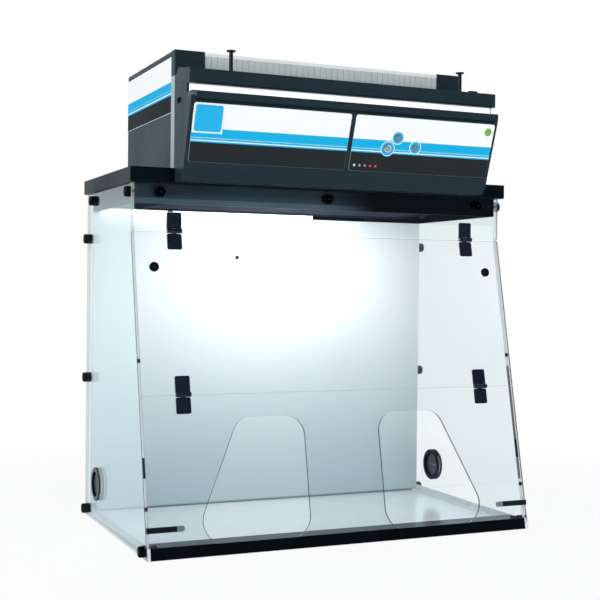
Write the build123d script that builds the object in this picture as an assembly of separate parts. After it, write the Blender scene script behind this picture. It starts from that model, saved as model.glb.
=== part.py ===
from build123d import *
import math
import os

# Bench-top filtering fume hood. Millimetres, +Z up, front towards -Y, origin at the centre of its footprint.

# Chamber
chamber_w = 988.0  # over the outer faces of the two side panels
chamber_h = 838.0  # bench to the underside of the top plate
base_d = 586.0  # foot of the front to the back edge of the side panels
side_t = 8.0
front_t = 6.0
front_rake = 155.5  # the foot of the front stands this far ahead of the top strip
hinge_z = 728.0
fold_z = 354.0
edge_gap = 2.5  # between the leaning front panels and the side panels' front edges
panel_gap = 1.5  # between two front panels at a hinge line
rear_inset = 29.0  # back edge of the side panels to the front face of the rear panel
rear_t = 8.0
worktop_t = 8.0
rail_w = 18.0
rail_h = 16.0
rail_t = 3.0
sill_h = 26.0
sill_d = 66.0
sill_wall = 5.0
sill_lip_h = 2.0
sill_lip_w = 5.0

# Clearances
seat_gap = 0.3  # between pieces that move apart
fit_gap = 0.1  # pin, stud or stem in its hole, on the radius
hole_gap = 0.4  # fastener passing through a clear panel, on the radius

# Arm ports in the lower panel
port_inner_x = 98.0
port_top_w = 164.0
port_foot_w = 291.0
port_top_z = 301.0
port_overrun = 4.0  # the port outline runs this far below the panel's lower edge
port_top_r = 48.0
port_foot_r = 52.0

# Hinges
hinge_inset = 101.0  # from the side panel's outer face to the middle of a hinge
leaf_w = 35.0
leaf_l = 43.0
leaf_t = 3.6
barrel_r = 5.5
barrel_gap = 0.3  # between the barrel and the panel's face
knuckle_gap = 0.4
pin_r = 1.8
leaf_corner_r = 4.0

# Magnet knobs and catch bars
knob_inset = 49.0
knob_z = 644.0
knob_r = 11.3
knob_h = 5.8
stem_r = 3.0
catch_l = 88.0
catch_h = 13.0
catch_t = 4.4
catch_tip_l = 18.0
catch_z = 64.0

# Thumb screws
head_r = 12.5
head_l = 12.0
head_edge = 1.6
stud_r = 3.0
nut_l = 12.0
side_screw_inset = 18.0  # from the strip's outer face back to the front side screw
side_screw_back = 68.5  # from the back edge to the rear screw of the collar
collar_screw_drop = 20.0  # below the underside of the top plate
strip_screw_inset = 66.0
rear_screw_inset = 13.0
rear_screw_z = [16.0, 360.0, 722.0]
sill_screw_inset = 31.0
sill_screw_z = 16.0

# Cable grommets
grommet_z = 95.0
grommet_inset = 115.5  # from the back edge of the side panels
grommet_hole_r = 36.0
grommet_rim_r = 43.0
grommet_bore_r = 32.0
grommet_rim_t = 3.0
membrane_t = 2.0
slit_l = 44.0
slit_w = 0.8

# Buffers and magnet strips on the front edges of the side panels
buffer_z = [110.0, 433.0]
buffer_l = 9.0
magnet_z = 198.0
magnet_l = 45.0
magnet_w = 6.0

# Rear panel plug
plug_share = -0.172  # place across the half width
plug_z = 681.0
plug_r = 5.5
plug_h = 2.5
plug_shank_r = 3.5

# Top plate and collar
slab_w = 1005.0
slab_back = 8.5  # behind the side panels' back edge
slab_t = 35.0
slab_overhang = 20.0  # ahead of the top strip
slab_edge = 2.0
opening_rest = 20.0  # the pre-filter frame overlaps the plate round the opening by this much
collar_h = 46.4
collar_t = 4.0

# Pre-filter and its clips
prefilter_side = 106.0  # between the pre-filter and the side panels
prefilter_front = 30.0  # behind the collar's front face
prefilter_back = 6.0  # ahead of the lamp
prefilter_z = 800.0
prefilter_wall = 12.0
mat_t = 20.0
clip_inset = 87.0  # from the pre-filter's end
clip_w = 14.0
clip_t = 2.0
clip_reach = 16.0

# Lamp
lamp_side = 16.0  # from the left side panel to the lamp
lamp_share = 0.615  # lamp length over the inner width
lamp_d = 26.0
lamp_h = 15.0
lamp_z = 786.0
diffuser_t = 4.0
diffuser_inset = 3.0

# Filter module
case_side = 114.5  # top plate beyond the case on each side
case_back = 12.0  # top plate beyond the case at the back
case_set = 48.0  # front wall of the case behind the front face of the top plate
case_wall = 3.0
case_top_z = 1144.0
frame_h = 10.0
frame_w = 24.0
block_w = 73.0
block_d = 27.0
block_lead = 14.0  # corner blocks and posts stand this far ahead of the case
block_z = 1093.0
front_wall_z = 1092.0
skin_t = 0.8
skin_z0 = 1009.0
skin_z1 = 1141.0
post_t = 1.5
filter_h = 90.0
filter_margin = 4.0
deck_z = 1004.0
deck_t = 4.0
fan_r = 150.0
fan_gap = 6.0
motor_r = 48.0
motor_h = 34.0
arm_w = 16.0
hub_r = 52.0
hub_h = 46.0
blade_n = 7
blade_t = 4.0
blade_w = 74.0
blade_pitch = 34.0
shaft_r = 6.0
shaft_gap = 2.0  # round the shaft in the deck
shroud_h = 40.0
shroud_t = 3.0
shelf_w = 12.0
pleat_n = 40
pleat_depth = 1.2
pleat_share = 0.86  # rib width over rib pitch
exhaust_rim = 8.0
exhaust_rim_t = 8.0
exhaust_set = 2.0  # front of the filter behind the corner blocks

# Mains inlet
inlet_inset = 88.0
inlet_z = 1052.0
inlet_w = 50.0
inlet_h = 28.0
inlet_d = 22.0
inlet_flange = 4.0
inlet_flange_t = 2.5
inlet_wall = 4.0
prong_r = 2.0
prong_spread = 7.0

# Control front
cap_t = 12.0
label_ahead = 112.0  # foot of the label face ahead of the corner posts
label_z = 881.0
label_h = 135.4
label_lean = 19.0
label_t = 2.0
label_side = 8.0  # label ends in from the outer faces of the end caps
label_split_x = 3.0
label_split = 11.5
label_corner_r = 6.0
fascia_wall = 3.0
fascia_foot_z = 840.0
fascia_foot_ahead = 88.0
fascia_knee_ahead = 105.1
fascia_knee_z = 864.0
fascia_heel_ahead = 45.0
fascia_step_gap = 1.5  # above the top plate
low_bar_z0 = 1018.0
low_bar_z1 = 1035.0
low_bar_ahead = 158.5
strip_face_ahead = 127.5
status_t = 4.5
status_z1 = 1060.0
top_bar_ahead = 143.5
top_bar_z0 = 1054.0
top_bar_z1 = 1087.0
top_bar_rise = 17.0
top_bar_chamfer = 4.0
cap_back_ahead = 39.5
bar_t = 3.0
cap_slot_d = 31.0
cap_slot_h = 12.5
cap_slot_z = 1018.0
cap_slot_inset = 15.5
seam_d = 61.0  # seam on the end caps, forward from their back edge
seam_foot_d = 51.0
seam_start = 12.0
seam_z0 = 886.0
seam_drop = 23.0  # below the front edge of the upper bar
seam_w = 1.0
seam_depth = 0.6
cap_corner = 20.0  # bevel at the top back corner of the end caps
tab_drop = 3.0  # clip tab on the left end cap, below the top of the lower bar
tab_h = 9.0
tab_reach = 21.0  # backwards along the side
tab_t = 1.2
strip_end_inset = 6.0  # strip's ends, in from the outer faces of the end caps

# Badge plate, buttons and lenses, placed on the label face
badge_inset = 37.0  # from the label's outer end to the middle of the badge plate
badge_up = 101.0
badge_w = 64.0
badge_h = 60.0
badge_t = 3.0
badge_corner_r = 5.0
# Each button's place across, its height up the label and its radius
button_spots = {
    "power_button": (104.5, 58.2, 10.2),
    "light_button": (127.9, 85.8, 7.8),
    "mode_button": (178.6, 64.8, 7.8),
}
button_proud = 0.6
button_gap = 0.5
button_flange = 2.5
button_travel = 2.0
button_skirt = 6.0
lens_inset = 16.7
lens_up = 115.5
lens_r = 9.6
lens_proud = 1.0
status_lens_x = 22.0
status_lens_pitch = 14.2
status_lens_n = 5
status_lens_up = 14.0
status_lens_r = 3.0
board_x0 = 12.0
board_w = 196.0
board_h = 92.0
board_up = 64.0
board_t = 1.6
board_depth = 22.0
switch_w = 8.0
boss_r = 4.0

# Pull pins on the upper bar
pull_inset = 88.0  # from the end of the upper bar
pull_ahead = 136.5
pull_r = 4.7
pull_disc_r = 10.8
pull_disc_t = 2.6
pull_rise = 47.0  # above the front edge of the upper bar
pull_depth = 11.0
clip_bump_inset = 50.0
clip_bump_w = 22.0

# Derived places
half_w = chamber_w / 2
inner_x = half_w - side_t
foot_y = -base_d / 2
back_y = base_d / 2
strip_y = foot_y + front_rake
lean = math.atan2(front_rake, hinge_z)
rear_y = back_y - rear_inset
slab_front_y = strip_y - slab_overhang
slab_back_y = back_y + slab_back
slab_top_z = chamber_h + slab_t
sill_back_y = foot_y + sill_d
collar_z = chamber_h - collar_h
collar_front_y = strip_y + front_t
case_front_y = slab_front_y + case_set
case_back_y = slab_back_y - case_back
case_half = slab_w / 2 - case_side
block_front_y = case_front_y - block_lead
top_z = case_top_z + frame_h
label_y = block_front_y - label_ahead
fascia_foot_front_y = block_front_y - fascia_foot_ahead
fascia_knee_y = block_front_y - fascia_knee_ahead
fascia_foot_back_y = block_front_y - fascia_heel_ahead
low_bar_y = block_front_y - low_bar_ahead
strip_face_y = block_front_y - strip_face_ahead
top_bar_y = block_front_y - top_bar_ahead
cap_back_y = block_front_y - cap_back_ahead
pull_y = block_front_y - pull_ahead
pull_top_z = top_bar_z1 + pull_rise
pull_foot_z = top_bar_z1 - pull_depth
fascia_half = case_half
pull_x = fascia_half - pull_inset
clip_bump_x = fascia_half - clip_bump_inset
hinge_x = half_w - hinge_inset
knob_x = half_w - knob_inset
strip_screw_x = half_w - strip_screw_inset
prefilter_half = inner_x - prefilter_side
clip_x = prefilter_half - clip_inset
lamp_x0 = -inner_x + lamp_side
lamp_x1 = lamp_x0 + inner_x * 2 * lamp_share
plug_x = half_w * plug_share
inlet_x = case_half - inlet_inset
cap_outer_x = fascia_half + cap_t
label_end = cap_outer_x - label_side
badge_x = -label_end + badge_inset
lens_x = label_end - lens_inset
axis_off = barrel_r + barrel_gap
fan_mid_y = (case_front_y + case_back_y) / 2
lamp_front_y = rear_y - collar_t - lamp_d
prefilter_y0 = collar_front_y + prefilter_front
prefilter_y1 = lamp_front_y - prefilter_back

# The leaning front face: local X across, Y up the slope, Z outwards
front_face = Plane(origin=(0, strip_y, hinge_z), x_dir=(1, 0, 0), z_dir=(0, -math.cos(lean), math.sin(lean)))
# The label face: local X across, Y up the label, Z outwards
label_tilt = math.radians(label_lean)
label_face = Plane(
    origin=(0, label_y, label_z), x_dir=(1, 0, 0), z_dir=(0, -math.cos(label_tilt), -math.sin(label_tilt))
)


def block(x0, x1, y0, y1, z0, z1):
    """Box between two corners."""
    return Pos((x0 + x1) / 2, (y0 + y1) / 2, (z0 + z1) / 2) * Box(x1 - x0, y1 - y0, z1 - z0)


def prism_x(points, x0, x1):
    """Outline in the YZ plane, drawn out along X."""
    face = Plane.YZ.offset(x0) * Polygon(*points, align=None)
    return extrude(face, amount=x1 - x0, dir=(1, 0, 0))


def slab_on(plane, sketch, n0, n1):
    """Sketch in a plane's own coordinates, filled between two heights along its normal."""
    return extrude(plane.offset(n0) * sketch, amount=n1 - n0, dir=plane.z_dir)


def rod(plane, x, y, r, n0, n1):
    """Cylinder along a plane's normal."""
    return slab_on(plane, Pos(x, y) * Circle(r), n0, n1)


def rod_x(y, z, r, x0, x1):
    """Cylinder along X."""
    return rod(Plane.YZ, y, z, r, x0, x1)


def group(items):
    """Separate solids kept together as one piece list."""
    return Compound(children=[solid for item in items for solid in item.solids()])


def mirrored(item):
    """The other side of the hood."""
    return mirror(item, about=Plane.YZ)


def both_sides(item):
    """A piece and its mirror image."""
    return group([item, mirrored(item)])


def slope(z):
    """Distance up the leaning face from the hinge line, negative below it."""
    return (z - hinge_z) / math.cos(lean)


def front_y_at(z, depth=0.0):
    """Y of the leaning face, or of a face that lies this deep behind it."""
    return strip_y - (hinge_z - z) * math.tan(lean) + depth / math.cos(lean)


def hinge_axis(at_slope):
    """Hinge axis ahead of the leaning face, as Y and Z."""
    out = front_face.z_dir * axis_off
    up = front_face.y_dir * at_slope
    return strip_y + up.Y + out.Y, hinge_z + up.Z + out.Z


upper_axis = (strip_y - axis_off, hinge_z + axis_off * math.tan(lean / 2))
fold_slope = slope(fold_z)
lower_axis = hinge_axis(fold_slope)
panel_foot_slope = slope(sill_h + panel_gap)


def collar_screw_spots():
    """Y and Z of the two screws that hold each side panel to the collar."""
    front = strip_y + side_screw_inset
    z = chamber_h - collar_screw_drop
    return [(front, z), (back_y - side_screw_back, z)]


def rear_screw_spots():
    """Y and Z of the screws down the back edge of each side panel."""
    return [(back_y - rear_screw_inset, z) for z in rear_screw_z]


def sill_screw_spot():
    """Y and Z of the screw into the end of the sill."""
    return foot_y + sill_screw_inset, sill_screw_z


def grommet_spot():
    """Y and Z of the cable grommet."""
    return back_y - grommet_inset, grommet_z


def side_panel():
    """Clear side panel, cut slanting at the front, with a toe beside the sill."""
    depth = front_t + edge_gap
    bend = (depth * math.cos(lean) - front_t) / math.sin(lean)
    bend_z = hinge_z - depth * math.sin(lean) - bend * math.cos(lean)
    outline = [
        (back_y, 0),
        (back_y, chamber_h),
        (strip_y + front_t, chamber_h),
        (strip_y + front_t, bend_z),
        (front_y_at(sill_h, depth), sill_h),
        (front_y_at(sill_h), sill_h),
        (foot_y, 0),
    ]
    panel = prism_x(outline, inner_x, half_w)
    for y, z in collar_screw_spots() + rear_screw_spots() + [sill_screw_spot()]:
        panel -= rod_x(y, z, stud_r + hole_gap, inner_x - 1, half_w + 1)
    y, z = grommet_spot()
    panel -= rod_x(y, z, grommet_hole_r, inner_x - 1, half_w + 1)
    return panel


def rear_panel():
    """Opaque rear panel, standing between the side panels."""
    panel = block(-inner_x, inner_x, rear_y, rear_y + rear_t, 0, chamber_h)
    panel -= rod(Plane.XZ, plug_x, plug_z, plug_shank_r + fit_gap, -rear_y - rear_t - 1, -rear_y + 1)
    return panel


def rear_port_plug():
    """Small plug high on the rear panel."""
    head = rod(Plane.XZ, plug_x, plug_z, plug_r, -rear_y, -rear_y + plug_h)
    head = fillet(head.edges().group_by(Axis.Y)[0], plug_h * 0.4)
    return head + rod(Plane.XZ, plug_x, plug_z, plug_shank_r, -rear_y - rear_t, -rear_y)


def worktop():
    """Glossy work surface between the rails."""
    tray = block(-inner_x, inner_x, sill_back_y, rear_y, 0, worktop_t)
    return tray


def side_rail():
    """Angle profile along the foot of a side panel."""
    z0 = worktop_t
    outline = [
        (inner_x, z0),
        (inner_x, z0 + rail_h),
        (inner_x - rail_t, z0 + rail_h),
        (inner_x - rail_t - 1.5, z0 + rail_t * 2),
        (inner_x - rail_w + rail_t, z0 + rail_t),
        (inner_x - rail_w, z0 + rail_t / 2),
        (inner_x - rail_w, z0),
    ]
    face = Plane.XZ.offset(-sill_back_y) * Polygon(*outline, align=None)
    return extrude(face, amount=rear_y - sill_back_y, dir=(0, 1, 0))


def front_sill():
    """Black sill bar with a lip under the lower panel, hollow from below."""
    lip_z = sill_h - sill_lip_h
    outline = [
        (foot_y, 0),
        (front_y_at(sill_h), sill_h),
        (front_y_at(sill_h) + sill_lip_w, sill_h),
        (front_y_at(sill_h) + sill_lip_w + 1, lip_z),
        (sill_back_y, lip_z),
        (sill_back_y, 0),
    ]
    bar = prism_x(outline, -inner_x, inner_x)
    bar -= block(
        -inner_x + sill_wall * 2, inner_x - sill_wall * 2,
        foot_y + sill_wall * 2, sill_back_y - sill_wall, -1, lip_z - sill_wall,
    )
    y, z = sill_screw_spot()
    for x0 in (-inner_x, inner_x - sill_wall * 2):
        bar -= rod_x(y, z, stud_r + fit_gap, x0 - 1, x0 + sill_wall * 2 + 1)
    return bar


def front_top_strip():
    """Fixed clear strip above the upper hinge line."""
    z0 = hinge_z + panel_gap
    strip = block(-half_w, half_w, strip_y, strip_y + front_t, z0, chamber_h)
    z = chamber_h - collar_screw_drop
    for x in (-strip_screw_x, 0, strip_screw_x):
        strip -= rod(Plane.XZ, x, z, stud_r + hole_gap, -strip_y - front_t - 1, -strip_y + 1)
    return strip


def clear_panel(slope0, slope1):
    """Full-width clear panel on the leaning face between two heights up the slope."""
    mid = (slope0 + slope1) / 2
    return slab_on(front_face, Pos(0, mid) * Rectangle(chamber_w, slope1 - slope0), -front_t, 0)


def middle_panel():
    """Upper swinging panel, with the holes for its magnet knobs."""
    panel = clear_panel(fold_slope + panel_gap / 2, -panel_gap)
    for x in (-knob_x, knob_x):
        panel -= rod(front_face, x, slope(knob_z), stem_r + fit_gap, -front_t - 1, 1)
    return panel


def arm_port():
    """Outline of the right arm port in the leaning face's own coordinates."""
    foot = panel_foot_slope - port_overrun
    top = slope(port_top_z)
    inner = port_inner_x
    outline = Polygon(
        (inner, foot), (inner + port_foot_w, foot), (inner + port_top_w, top), (inner, top), align=None
    )
    corners = outline.vertices().sort_by(Axis.Y)
    outline = fillet(corners[2:], port_top_r)
    corners = outline.vertices().group_by(Axis.Y)[0]
    return fillet(corners, port_foot_r)


def lower_panel():
    """Lower folding panel with two arm ports open at its foot."""
    panel = clear_panel(panel_foot_slope, fold_slope - panel_gap / 2)
    port = slab_on(front_face, arm_port(), -front_t - 1, 1)
    return panel - port - mirrored(port)


def leaf_parts(axis_point, up_dir, side, knuckles):
    """One hinge leaf at x = 0: side +1 runs up from the axis, -1 down; knuckles are spans along X."""
    out = Vector(1, 0, 0).cross(up_dir)
    frame = Plane(origin=(0, axis_point[0], axis_point[1]), x_dir=(1, 0, 0), z_dir=out)
    plate_mid = side * (leaf_l / 2 + barrel_r / 2 + knuckle_gap)
    plate_l = leaf_l - barrel_r
    sketch = Pos(0, plate_mid) * RectangleRounded(leaf_w, plate_l, leaf_corner_r)
    plate = slab_on(frame, sketch, -axis_off, -axis_off + leaf_t)
    barrel_plane = Plane(origin=(0, axis_point[0], axis_point[1]), x_dir=frame.y_dir, z_dir=(1, 0, 0))
    reach = barrel_r + knuckle_gap + leaf_corner_r
    leaf = plate
    for x0, x1 in knuckles:
        web = slab_on(
            frame, Pos((x0 + x1) / 2, side * reach / 2) * Rectangle(x1 - x0, reach),
            -axis_off + barrel_gap, -axis_off + leaf_t,
        )
        leaf += web + rod(barrel_plane, 0, 0, barrel_r, x0, x1)
    return leaf - rod(barrel_plane, 0, 0, pin_r + fit_gap, -leaf_w, leaf_w)


third = leaf_w / 3
outer_knuckles = [(-leaf_w / 2, -third / 2 - knuckle_gap / 2), (third / 2 + knuckle_gap / 2, leaf_w / 2)]
middle_knuckle = [(-third / 2 + knuckle_gap / 2, third / 2 - knuckle_gap / 2)]


def at_hinges(item):
    """Copies of a hinge piece at the left and right hinge places."""
    return group([Pos(x, 0, 0) * item for x in (-hinge_x, hinge_x)])


def hinge_pins(axis_point):
    """The two pins of one hinge line."""
    return at_hinges(rod_x(axis_point[0], axis_point[1], pin_r, -leaf_w / 2, leaf_w / 2))


def magnet_knobs():
    """Round knobs that hold the folded lower panel, with stems through the middle panel."""
    knob = rod(front_face, knob_x, slope(knob_z), knob_r, 0, knob_h)
    knob = fillet(knob.edges().sort_by(lambda e: e.center().Y)[0], knob_h * 0.35)
    knob -= rod(front_face, knob_x, slope(knob_z), knob_r * 0.3, knob_h - 1, knob_h + 1)
    knob += rod(front_face, knob_x, slope(knob_z), stem_r, -front_t, 0)
    return both_sides(knob)


def catch_bars():
    """Flat bars at the lower corners of the lower panel."""
    length = catch_l - catch_tip_l
    bar = slab_on(front_face, Pos(half_w - length / 2, slope(catch_z)) * Rectangle(length, catch_h), 0, catch_t)
    bar = fillet(bar.edges().filter_by(Axis.X).sort_by(lambda e: e.center().Y)[0:2], catch_t * 0.4)
    return both_sides(bar)


def catch_tips():
    """Rounded tips at the inner ends of the catch bars."""
    x0 = half_w - catch_l
    tip = slab_on(front_face, Pos(x0 + catch_h / 2, slope(catch_z)) * Circle(catch_h / 2), 0, catch_t)
    mid = x0 + (catch_h / 2 + catch_tip_l) / 2
    body = Pos(mid, slope(catch_z)) * Rectangle(catch_tip_l - catch_h / 2, catch_h)
    tip += slab_on(front_face, body, 0, catch_t)
    return both_sides(tip & block(x0 - 1, half_w - catch_l + catch_tip_l, foot_y * 2, 0, 0, hinge_z))


def edge_piece(z, length, width, thick):
    """Block on the slanting front edge of the right side panel."""
    spot = Pos(half_w - side_t / 2, slope(z)) * Rectangle(width, length)
    return slab_on(front_face, spot, -front_t - edge_gap, -front_t - edge_gap + thick)


def edge_buffers():
    """Rubber buffers that the front panels rest on."""
    return group([both_sides(edge_piece(z, buffer_l, side_t, edge_gap - seat_gap)) for z in buffer_z])


def edge_magnets():
    """Magnet strips set on the front edges of the side panels."""
    return both_sides(edge_piece(magnet_z, magnet_l, magnet_w, edge_gap - seat_gap * 2))


def thumb_screw(length):
    """Thumb screw along +Z, its head seated on Z = 0."""
    head = Pos(0, 0, head_l / 2) * Cylinder(head_r, head_l)
    head = fillet(head.edges().group_by(Axis.Z)[-1], head_edge)
    head -= Pos(0, 0, head_l) * Cylinder(head_r * 0.45, head_edge)
    return head + Pos(0, 0, -length / 2) * Cylinder(stud_r, length)


def collar_screws():
    """Thumb screws of the side panels and the top strip into the collar."""
    screws = []
    through = side_t + collar_t * 2
    for y, z in collar_screw_spots():
        screws.append(Plane(origin=(half_w, y, z), z_dir=(1, 0, 0)) * thumb_screw(through))
        screws.append(Plane(origin=(-half_w, y, z), z_dir=(-1, 0, 0)) * thumb_screw(through))
    z = chamber_h - collar_screw_drop
    for x in (-strip_screw_x, 0, strip_screw_x):
        screws.append(Plane(origin=(x, strip_y, z), z_dir=(0, -1, 0)) * thumb_screw(front_t + collar_t * 2))
    return group(screws)


def edge_screws():
    """Thumb screws down the back edges and into the sill ends."""
    screws = []
    for y, z in rear_screw_spots() + [sill_screw_spot()]:
        length = side_t + sill_wall * 2 - 1
        screws.append(Plane(origin=(half_w, y, z), z_dir=(1, 0, 0)) * thumb_screw(length))
        screws.append(Plane(origin=(-half_w, y, z), z_dir=(-1, 0, 0)) * thumb_screw(length))
    return group(screws)


def rear_nut_posts():
    """Nut posts on the back of the rear panel, one for each rear screw."""
    posts = []
    for y, z in rear_screw_spots():
        post = rod_x(y, z, head_r, inner_x - nut_l, inner_x)
        post -= rod_x(y, z, stud_r + fit_gap, inner_x - nut_l - 1, inner_x + 1)
        post -= block(0, half_w, 0, rear_y + rear_t, z - head_r * 2, z + head_r * 2)
        posts.append(both_sides(post))
    return group(posts)


def cable_grommets():
    """Ring with a rim on each face of the side panel."""
    y, z = grommet_spot()
    ring = rod_x(y, z, grommet_rim_r, half_w, half_w + grommet_rim_t)
    ring = fillet(ring.edges().group_by(Axis.X)[-1], grommet_rim_t * 0.6)
    ring += rod_x(y, z, grommet_hole_r - fit_gap, inner_x, half_w)
    ring += rod_x(y, z, grommet_rim_r, inner_x - grommet_rim_t, inner_x)
    ring -= rod_x(y, z, grommet_bore_r, inner_x - grommet_rim_t * 2, half_w + grommet_rim_t * 2)
    return both_sides(ring)


def grommet_membranes():
    """Rubber discs with a slit for cables."""
    y, z = grommet_spot()
    mid = half_w - side_t / 2
    disc = rod_x(y, z, grommet_bore_r, mid - membrane_t / 2, mid + membrane_t / 2)
    disc -= block(inner_x, half_w, y - slit_l / 2, y + slit_l / 2, z - slit_w / 2, z + slit_w / 2)
    return both_sides(disc)


def top_plate():
    """Thick dark plate over the chamber with the filter opening."""
    plate = block(-slab_w / 2, slab_w / 2, slab_front_y, slab_back_y, chamber_h, slab_top_z)
    plate = fillet(plate.edges().filter_by(Axis.Z), slab_edge * 2)
    plate = chamfer(plate.faces().sort_by(Axis.Z)[0].edges(), slab_edge)
    return plate - prefilter_box(opening_rest, chamber_h - 1, slab_top_z + 1)


def collar_frame():
    """Folded collar below the top plate that the panels fasten to."""
    y0, y1 = collar_front_y, rear_y
    frame = block(-inner_x, inner_x, y0, y1, collar_z, chamber_h)
    wall = collar_t
    frame -= block(-inner_x + wall, inner_x - wall, y0 + wall, y1 - wall, collar_z - 1, chamber_h + 1)
    for y, z in collar_screw_spots():
        for x0 in (-inner_x, inner_x - wall):
            frame -= rod_x(y, z, stud_r + fit_gap, x0 - 1, x0 + wall + 1)
    for x in (-strip_screw_x, 0, strip_screw_x):
        frame -= rod(Plane.XZ, x, chamber_h - collar_screw_drop, stud_r + fit_gap, -y0 - wall - 1, -y0 + 1)
    return frame


def prefilter_box(margin, z0, z1):
    """Box on the pre-filter's footprint, in from its edge by a margin."""
    w = prefilter_half - margin
    return block(-w, w, prefilter_y0 + margin, prefilter_y1 - margin, z0, z1)


def prefilter_frame():
    """Frame of the pre-filter, hanging under the top plate."""
    frame = prefilter_box(0, prefilter_z, chamber_h)
    return frame - prefilter_box(prefilter_wall, prefilter_z - 1, chamber_h + 1)


def prefilter_mat():
    """Filter mat inside the pre-filter frame."""
    return prefilter_box(prefilter_wall, prefilter_z + 4, prefilter_z + 4 + mat_t)


def prefilter_clips():
    """Bent clips that hold the pre-filter frame up."""
    y0 = prefilter_y0
    t = clip_t
    outline = [
        (y0 - t, chamber_h),
        (y0, chamber_h),
        (y0, prefilter_z),
        (y0 + clip_reach - t, prefilter_z),
        (y0 + clip_reach, prefilter_z - t * 2),
        (y0 + clip_reach - t, prefilter_z - t * 2),
        (y0 + clip_reach - t * 2, prefilter_z - t),
        (y0 - t, prefilter_z - t),
    ]
    front = prism_x(outline, clip_x - clip_w / 2, clip_x + clip_w / 2)
    back = mirror(front, about=Plane.XZ.offset(-(prefilter_y0 + prefilter_y1) / 2))
    return group([both_sides(front), both_sides(back)])


def lamp_box(margin, z0, z1):
    """Box along the lamp, in from its edge by a margin."""
    y0, y1 = lamp_front_y, lamp_front_y + lamp_d
    return block(lamp_x0 + margin, lamp_x1 - margin, y0 + margin, y1 - margin, z0, z1)


def lamp_housing():
    """Lamp body on the inner face of the collar's back wall."""
    body = lamp_box(0, lamp_z + diffuser_t, lamp_z + lamp_h)
    return body - lamp_box(diffuser_inset, lamp_z, lamp_z + lamp_h - diffuser_inset)


def lamp_diffuser():
    """White light cover under the lamp body."""
    return lamp_box(0, lamp_z, lamp_z + diffuser_t)


def filter_case():
    """Case of the filter module, open at top and bottom, lower at the front."""
    w, t = case_half, case_wall
    case = block(-w, w, case_front_y, case_back_y, slab_top_z, case_top_z)
    case -= block(-w + t, w - t, case_front_y + t, case_back_y - t, slab_top_z - 1, case_top_z + 1)
    span = case_half - block_w
    case -= block(-span, span, case_front_y - 1, case_front_y + t + 1, front_wall_z, case_top_z + 1)
    ledge = case_half - block_d - seat_gap
    case += block(-ledge, ledge, block_front_y, case_front_y, front_wall_z - t, front_wall_z)
    z0, z1 = front_wall_z - t, front_wall_z
    shelf = block(-w + t, w - t, case_front_y + t, case_back_y - t, z0, z1)
    m = t + shelf_w
    case += shelf - block(-w + m, w - m, case_front_y + m, case_back_y - m, z0 - 1, z1 + 1)
    half_in = inlet_w / 2
    low, high = inlet_z - inlet_h / 2, inlet_z + inlet_h / 2
    return case - block(inlet_x - half_in, inlet_x + half_in, case_back_y - t - 1, case_back_y + 1, low, high)


def side_skin():
    """Printed skin on one side of the case."""
    y0 = block_front_y + block_d + fit_gap
    return block(case_half, case_half + skin_t, y0, case_back_y, skin_z0, skin_z1)


def corner_block():
    """Right front corner block, standing from the post up to the frame's top."""
    x0 = case_half - block_w
    y0, y1 = block_front_y, case_front_y
    lump = block(x0, case_half + post_t, y0, y1, block_z, top_z)
    lump += block(case_half, case_half + post_t, y1, y0 + block_d, block_z, top_z)
    return chamfer(lump.edges().filter_by(Axis.Z).sort_by(Axis.Y)[0:2], 1.0)


def top_frame():
    """Dark frame round the top of the case with its two corner blocks."""
    w, inner = case_half, case_half - frame_w
    frame = block(-w, w, case_front_y, case_back_y, case_top_z, top_z)
    y1 = case_back_y - frame_w
    span = case_half - block_w
    frame -= block(-inner, inner, case_front_y + block_d, y1, case_top_z - 1, top_z + 1)
    frame -= block(-span, span, case_front_y - 1, case_front_y + block_d + 1, case_top_z - 1, top_z + 1)
    lump = corner_block()
    return frame + lump + mirrored(lump)


def corner_posts():
    """Light grey angle posts at the front corners of the case."""
    x1 = case_half + post_t
    y0 = block_front_y
    post = block(case_half, x1, y0, y0 + block_d, slab_top_z, block_z)
    post += block(x1 - block_d, x1, y0, y0 + post_t, slab_top_z, block_z)
    return both_sides(post)


def carbon_filter():
    """Carbon filter cartridge on the top plate, inside the case."""
    m = case_wall + filter_margin
    z1 = slab_top_z + filter_h
    box = block(-case_half + m, case_half - m, case_front_y + m, case_back_y - m, slab_top_z, z1)
    rim = m * 5
    return box - block(-case_half + rim, case_half - rim, case_front_y + rim, case_back_y - rim, z1 - m, z1 + 1)


def fan_deck():
    """Deck across the case with the fan opening and three motor arms."""
    t = case_wall
    deck = block(-case_half + t, case_half - t, case_front_y + t, case_back_y - t, deck_z, deck_z + deck_t)
    deck -= Pos(0, fan_mid_y, deck_z) * Cylinder(fan_r, deck_t * 4)
    foot = Pos(0, fan_mid_y, deck_z + deck_t + shroud_h / 2)
    collar = foot * Cylinder(fan_r + shroud_t, shroud_h) - foot * Cylinder(fan_r, shroud_h * 2)
    arms = Pos(0, fan_mid_y, deck_z + deck_t / 2) * Cylinder(motor_r, deck_t)
    for turn in (0, 120, 240):
        arm = Pos((fan_r + shroud_t) / 2, 0, 0) * Box(fan_r + shroud_t, arm_w, deck_t)
        arms += Pos(0, fan_mid_y, deck_z + deck_t / 2) * Rot(0, 0, turn + 90) * arm
    arms -= Pos(0, fan_mid_y, deck_z) * Cylinder(shaft_r + shaft_gap, deck_t * 4)
    return deck + collar + arms


def fan_motor():
    """Motor under the middle of the deck, with its shaft up into the rotor."""
    body = Pos(0, fan_mid_y, deck_z - motor_h / 2) * Cylinder(motor_r * 0.8, motor_h)
    body = fillet(body.edges().group_by(Axis.Z)[0], 4)
    shaft_top = deck_z + deck_t + fan_gap + hub_h - 8
    shaft = Pos(0, fan_mid_y, (deck_z + shaft_top) / 2) * Cylinder(shaft_r, shaft_top - deck_z)
    return body + shaft


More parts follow.
